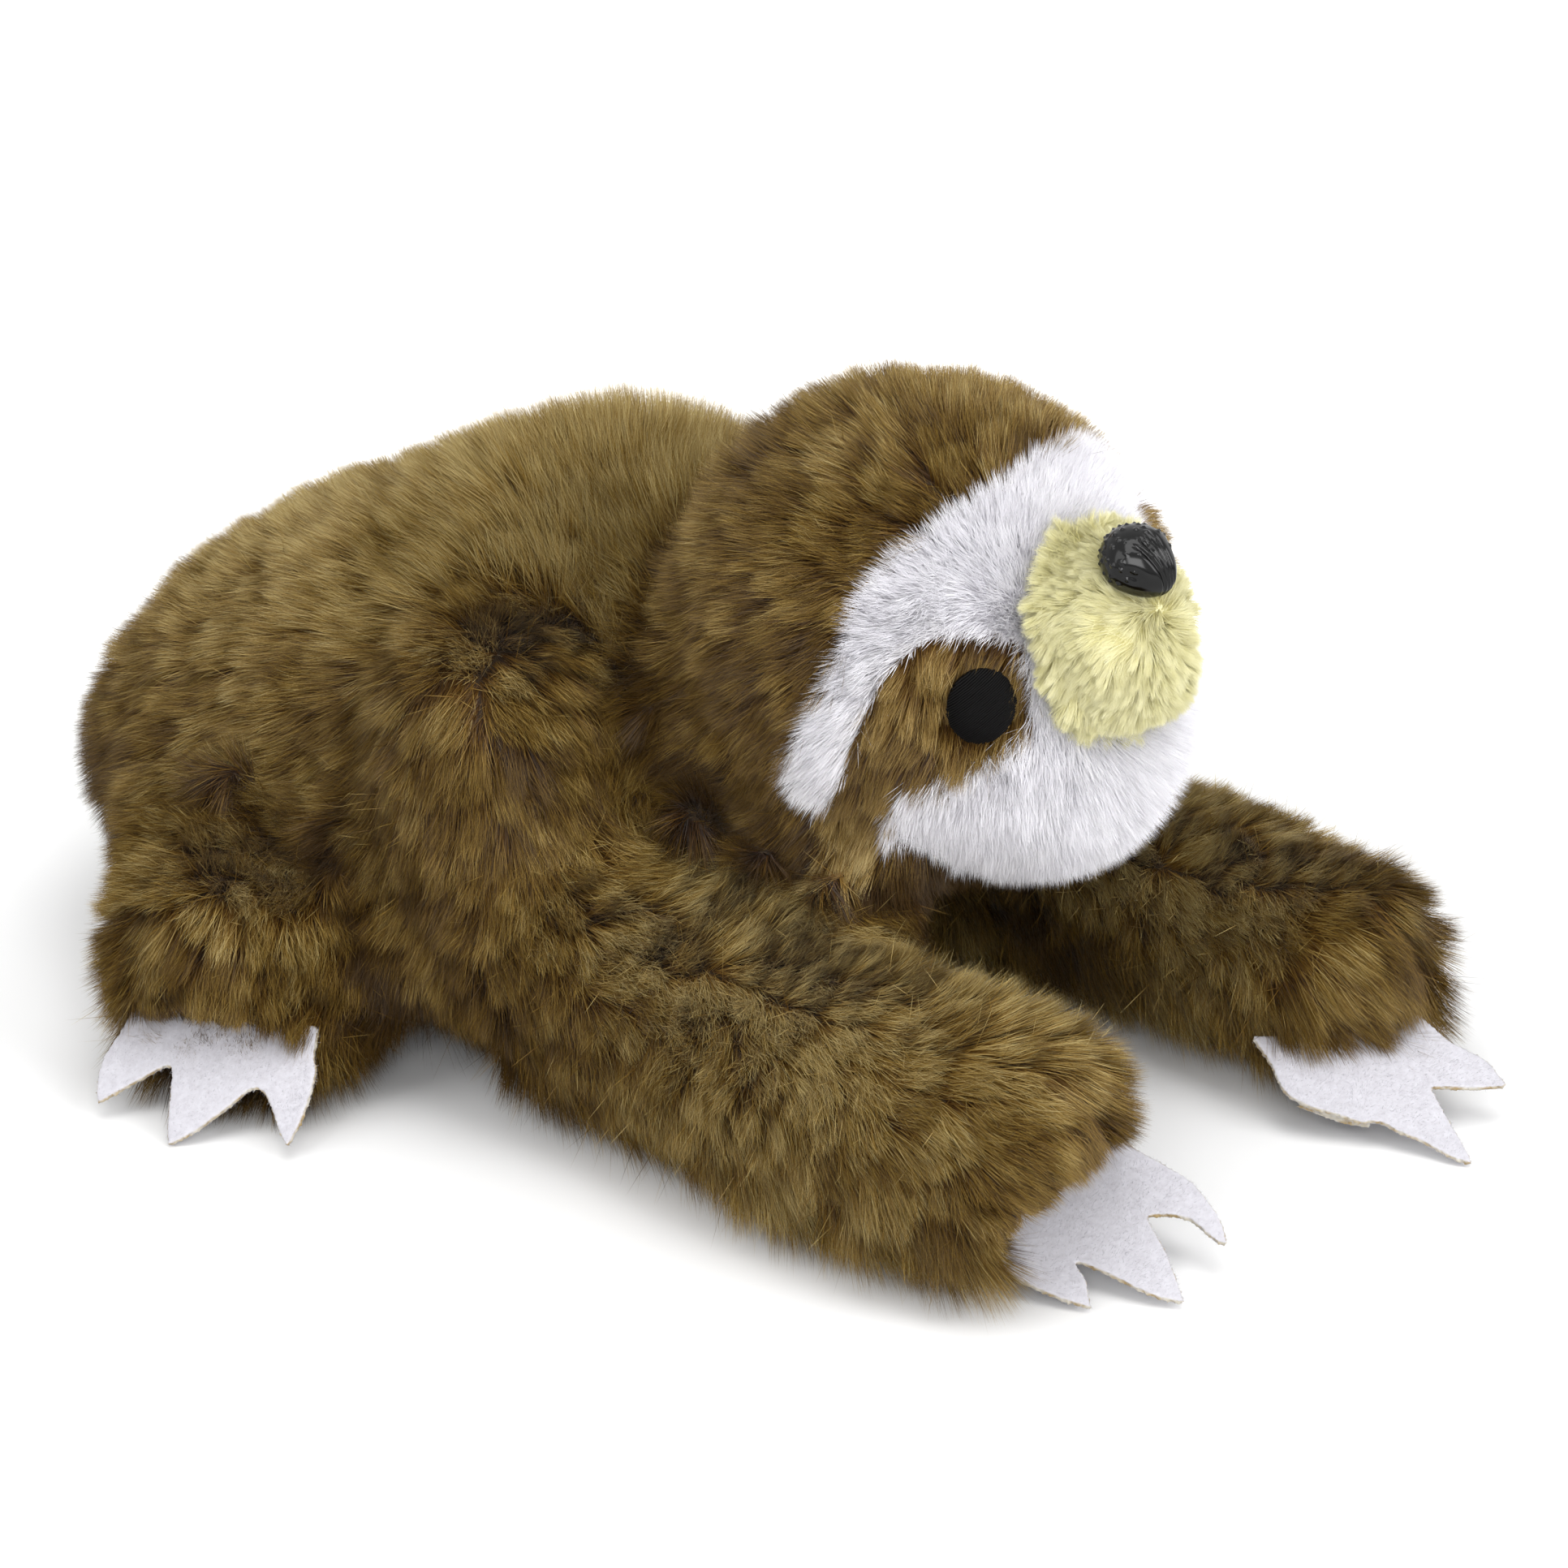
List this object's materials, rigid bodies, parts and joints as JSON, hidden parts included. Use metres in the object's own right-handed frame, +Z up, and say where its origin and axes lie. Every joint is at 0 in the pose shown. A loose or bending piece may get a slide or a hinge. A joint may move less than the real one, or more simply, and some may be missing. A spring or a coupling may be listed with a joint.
{
  "type": "plush toy animal",
  "caption": "Small long-pile plush sloth lying on its belly with its arms stretched forward and its head raised, with felt claws and a hard nose.",
  "frame": {"origin": "on the floor, at the middle of the flat of the belly", "axes": "+Z is up, the toy faces -Y, and its own left side is +X"},
  "size_m": [0.2264, 0.3183, 0.1495],
  "materials": {
    "brown_plush": "long-pile plush",
    "patch_plush": "long-pile plush",
    "white_plush": "long-pile plush",
    "cream_plush": "short curly plush",
    "eye_thread": "satin-stitch embroidery",
    "nose_plastic": "moulded, pebbled, glossy",
    "washer_plastic": "moulded",
    "claw_felt": "pressed felt with cut edges",
    "stuffing": "loose polyester fibre"
  },
  "bodies": {
    "torso": {"back_panel_left": "brown_plush", "back_panel_right": "brown_plush", "belly_panel": "brown_plush", "torso_stuffing": "stuffing"},
    "head": {"head_back": "brown_plush", "face_mask": "white_plush", "head_stuffing": "stuffing", "eye_patch_left": "patch_plush", "eye_patch_right": "patch_plush", "eye_left": "eye_thread", "eye_right": "eye_thread", "muzzle_cover": "cream_plush", "muzzle_stuffing": "stuffing", "nose": "nose_plastic", "nose_washer": "washer_plastic"},
    "arm_left": {"arm_left_upper": "brown_plush", "arm_left_lower": "brown_plush", "arm_left_stuffing": "stuffing", "hand_claws_left": "claw_felt"},
    "arm_right": {"arm_right_upper": "brown_plush", "arm_right_lower": "brown_plush", "arm_right_stuffing": "stuffing", "hand_claws_right": "claw_felt"},
    "leg_left": {"leg_left_upper": "brown_plush", "leg_left_lower": "brown_plush", "leg_left_stuffing": "stuffing", "foot_claws_left": "claw_felt"},
    "leg_right": {"leg_right_upper": "brown_plush", "leg_right_lower": "brown_plush", "leg_right_stuffing": "stuffing", "foot_claws_right": "claw_felt"}
  },
  "joints": [
    {"name": "neck_turn", "type": "hinge", "parent": "torso", "child": "head", "pos_m": [-0.008, -0.118, 0.098], "axis": [0, 0, 1], "range_deg": [-20, 20], "stiffness_Nm_per_rad": 0.05},
    {"name": "shoulder_left_lift", "type": "hinge", "parent": "torso", "child": "arm_left", "pos_m": [0.052, -0.044, 0.078], "axis": [-0.3489, -0.9371, 0], "range_deg": [0, 35], "stiffness_Nm_per_rad": 0.05},
    {"name": "shoulder_right_lift", "type": "hinge", "parent": "torso", "child": "arm_right", "pos_m": [-0.052, -0.044, 0.078], "axis": [-0.3489, 0.9371, 0], "range_deg": [0, 35], "stiffness_Nm_per_rad": 0.05},
    {"name": "hip_left_lift", "type": "hinge", "parent": "torso", "child": "leg_left", "pos_m": [0.046, 0.024, 0.034], "axis": [-0.4706, -0.8824, 0], "range_deg": [0, 20], "stiffness_Nm_per_rad": 0.05},
    {"name": "hip_right_lift", "type": "hinge", "parent": "torso", "child": "leg_right", "pos_m": [-0.046, 0.024, 0.034], "axis": [-0.4706, 0.8824, 0], "range_deg": [0, 20], "stiffness_Nm_per_rad": 0.05}
  ]
}
